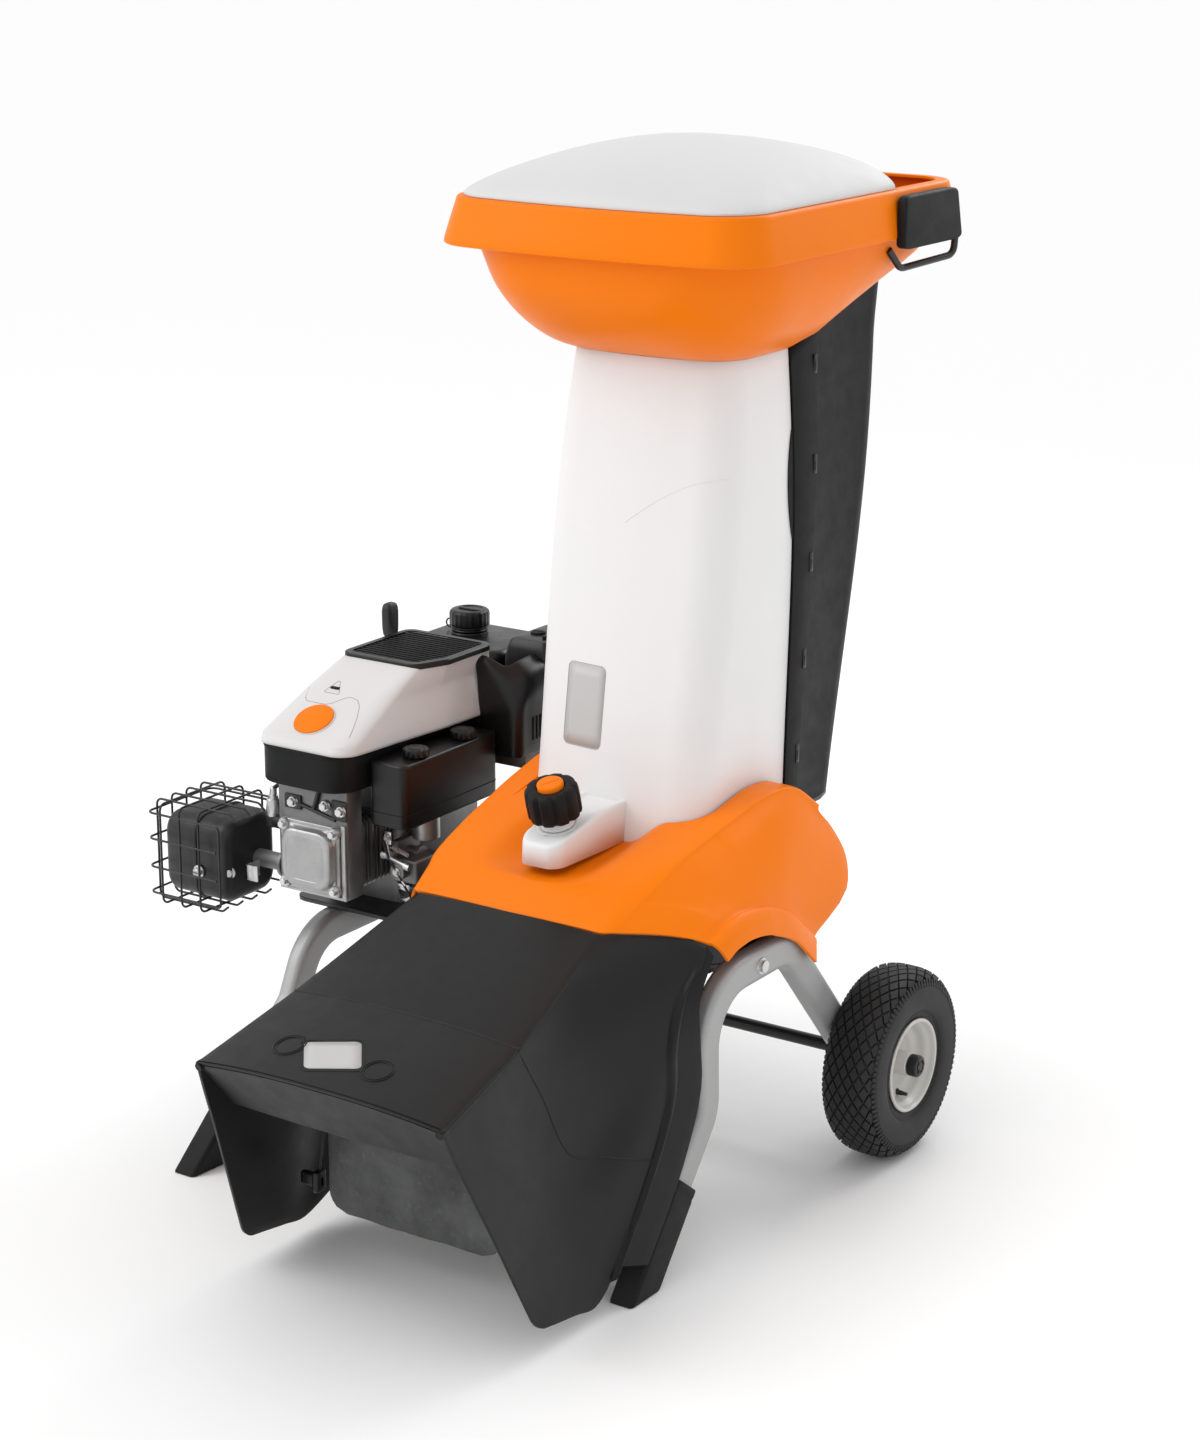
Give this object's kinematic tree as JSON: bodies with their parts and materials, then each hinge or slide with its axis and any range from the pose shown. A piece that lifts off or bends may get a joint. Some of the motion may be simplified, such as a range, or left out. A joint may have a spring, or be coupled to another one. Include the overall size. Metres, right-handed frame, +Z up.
{
  "type": "garden shredder",
  "caption": "Petrol garden shredder: feed chute with flared hopper over a bladed chamber, engine on a plate beside it, belt drive, discharge hood, two wheels and tubular legs.",
  "frame": {"origin": "on the ground, under the middle of the whole machine's box", "axes": "+Z up, -Y towards the discharge hood, +X towards the chute's side of the machine, along the axle"},
  "size_m": [0.9662, 1.1166, 1.3449],
  "materials": {
    "orange_shell": "satin moulded plastic",
    "light_shell": "fine-grained moulded plastic",
    "dark_shell": "fine-grained moulded plastic",
    "frame_coat": "silver-grey powder coat",
    "rim_coat": "semi-gloss paint",
    "tyre": "dull rubber with moulded tread",
    "rubber": "dull",
    "curtain": "dull sheet",
    "black_coat": "semi-gloss powder coat",
    "chamber_coat": "satin powder coat",
    "bright_steel": "machined",
    "engine_casting": "as cast, lightly oiled",
    "cover_casting": "as cast",
    "hot_steel": "heat-resistant matt black",
    "flywheel_iron": "as cast"
  },
  "bodies": {
    "frame": {"air_box": "dark_shell", "axle": "black_coat", "axle_cap_left": "dark_shell", "axle_cap_right": "dark_shell", "badge_disc": "orange_shell", "belt_cover": "black_coat", "carburettor": "cover_casting", "chamber": "chamber_coat", "control_box": "dark_shell", "curtain_rod": "bright_steel", "discharge_hood": "dark_shell", "drive_belt": "rubber", "engine_block": "engine_casting", "engine_plate": "black_coat", "engine_shroud": "light_shell", "engine_skirt": "dark_shell", "foot_left": "dark_shell", "foot_right": "dark_shell", "frame_bolt_right": "bright_steel", "frame_tube_left": "frame_coat", "frame_tube_right": "frame_coat", "fuel_tank": "dark_shell", "hinge_bracket": "black_coat", "hinge_pin": "bright_steel", "housing_cover": "orange_shell", "muffler": "hot_steel", "muffler_guard": "hot_steel", "rotor_bearing": "bright_steel", "spark_boot": "rubber", "starter_grille": "dark_shell", "valve_cover": "cover_casting"},
    "chute": {"chute_front": "light_shell", "chute_rear": "dark_shell", "hopper_bowl": "orange_shell", "hopper_dome": "light_shell", "hopper_grip_right": "dark_shell", "hopper_grip_left": "dark_shell"},
    "knob": {"knob_spindle": "light_shell", "lock_knob": "dark_shell"},
    "button": {"knob_button": "orange_shell"},
    "wheel_right": {"tyre_right": "tyre", "rim_right": "rim_coat"},
    "wheel_left": {"tyre_left": "tyre", "rim_left": "rim_coat"},
    "crank": {"crankshaft": "bright_steel", "flywheel": "flywheel_iron", "engine_pulley": "bright_steel"},
    "rotor": {"rotor_shaft": "bright_steel", "rotor_pulley": "bright_steel", "blade_disc": "bright_steel", "blade_1": "bright_steel", "blade_2": "bright_steel"},
    "curtain": {"curtain": "curtain"},
    "fuel_cap": {"fuel_cap": "dark_shell"},
    "air_knob_front": {"air_knob_front": "dark_shell"},
    "air_knob_rear": {"air_knob_rear": "dark_shell"},
    "starter": {"starter_grip": "dark_shell", "starter_cord": "rubber"}
  },
  "joints": [
    {"name": "chute_tilt", "type": "hinge", "parent": "frame", "child": "chute", "pos_m": [0.16832, 0.43657, 0.484], "axis": [-1, 0, 0], "range_deg": [0, 60]},
    {"name": "knob_turn", "type": "hinge", "parent": "chute", "child": "knob", "pos_m": [0.16832, -0.06743, 0.5195], "axis": [0, -0.2756, 0.9613], "continuous": true},
    {"name": "button_press", "type": "slide", "parent": "knob", "child": "button", "axis": [0, 0.2756, -0.9613], "range_m": [0, 0.004], "stiffness_N_per_m": 900, "springref_m": -0.001},
    {"name": "wheel_right_spin", "type": "hinge", "parent": "frame", "child": "wheel_right", "pos_m": [0.43702, 0.32457, 0.13], "axis": [1, 0, 0], "continuous": true},
    {"name": "wheel_left_spin", "type": "hinge", "parent": "frame", "child": "wheel_left", "pos_m": [-0.30038, 0.32457, 0.13], "axis": [1, 0, 0], "continuous": true},
    {"name": "rotor_spin", "type": "hinge", "parent": "frame", "child": "rotor", "pos_m": [0.16832, 0.21257, 0.306], "axis": [0, 0, 1], "continuous": true},
    {"name": "crank_spin", "type": "hinge", "parent": "frame", "child": "crank", "pos_m": [-0.21668, 0.14957, 0.306], "axis": [0, 0, 1], "continuous": true},
    {"name": "curtain_swing", "type": "hinge", "parent": "frame", "child": "curtain", "pos_m": [0.16832, -0.37543, 0.334], "axis": [1, 0, 0], "range_deg": [-45, 45]},
    {"name": "fuel_cap_turn", "type": "hinge", "parent": "frame", "child": "fuel_cap", "pos_m": [-0.27668, 0.35457, 0.612], "axis": [0, 0, 1], "continuous": true},
    {"name": "air_knob_front_turn", "type": "hinge", "parent": "frame", "child": "air_knob_front", "pos_m": [-0.12368, 0.02457, 0.535], "axis": [0, 0, 1], "continuous": true},
    {"name": "air_knob_rear_turn", "type": "hinge", "parent": "frame", "child": "air_knob_rear", "pos_m": [-0.12368, 0.12957, 0.535], "axis": [0, 0, 1], "continuous": true},
    {"name": "starter_pull", "type": "slide", "parent": "frame", "child": "starter", "axis": [0, 0, 1], "range_m": [0, 0.45], "stiffness_N_per_m": 30, "springref_m": -0.2, "deforming": ["starter_cord"]}
  ],
  "couplings": [
    {"joint": "crank_spin", "follows": "rotor_spin", "ratio": 2.524}
  ]
}
